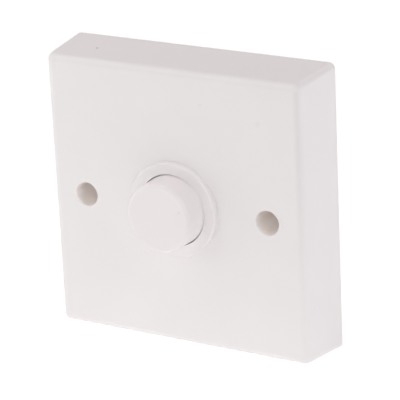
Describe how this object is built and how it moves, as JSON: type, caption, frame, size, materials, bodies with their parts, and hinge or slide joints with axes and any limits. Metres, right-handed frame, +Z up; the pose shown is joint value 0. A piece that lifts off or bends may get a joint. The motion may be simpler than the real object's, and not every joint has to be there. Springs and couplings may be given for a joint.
{
  "type": "changeover switch",
  "caption": "Square wall plate with a round sprung push button in a raised collar; pressing it changes over a contact arm between two terminals.",
  "frame": {"origin": "middle of the plate's back, in the plane of the wall, half way between the fixing holes", "axes": "+X to the right, +Y from the room into the wall, +Z up"},
  "size_m": [0.086, 0.0393, 0.086],
  "materials": {
    "white_moulding": "smooth white moulding",
    "white_button": "smooth white moulding",
    "nut_moulding": "plain moulding",
    "housing_moulding": "plain moulding",
    "plunger_moulding": "plain moulding",
    "brass": "plain brass",
    "silver": "silver contact metal",
    "spring_steel": "drawn spring wire",
    "plated_steel": "zinc plated"
  },
  "bodies": {
    "plate": {"front_plate": "white_moulding", "guide_collar": "white_moulding", "collar_nut": "nut_moulding", "return_spring": "spring_steel", "mechanism_cover": "housing_moulding", "mechanism_base": "housing_moulding", "mechanism_screws": "plated_steel", "common_terminal": "brass", "closed_terminal": "brass", "open_terminal": "brass", "terminal_screws": "plated_steel", "pivot_pin": "plated_steel", "closed_contact": "silver", "open_contact": "silver", "contact_spring": "spring_steel"},
    "button": {"push_button": "white_button", "plunger": "plunger_moulding"},
    "arm": {"contact_arm": "brass", "moving_contact": "silver"}
  },
  "joints": [
    {"name": "button_press", "type": "slide", "parent": "plate", "child": "button", "axis": [0, 1, 0], "range_m": [0, 0.003], "stiffness_N_per_m": 500, "springref_m": -0.006, "deforming": ["return_spring"]},
    {"name": "arm_tilt", "type": "hinge", "parent": "plate", "child": "arm", "pos_m": [0, -0.00515, 0.013], "axis": [1, 0, 0], "range_deg": [0, 13.3], "deforming": ["contact_spring"]}
  ],
  "couplings": [
    {"joint": "arm_tilt", "follows": "button_press", "rad_per_m": 76.923}
  ]
}
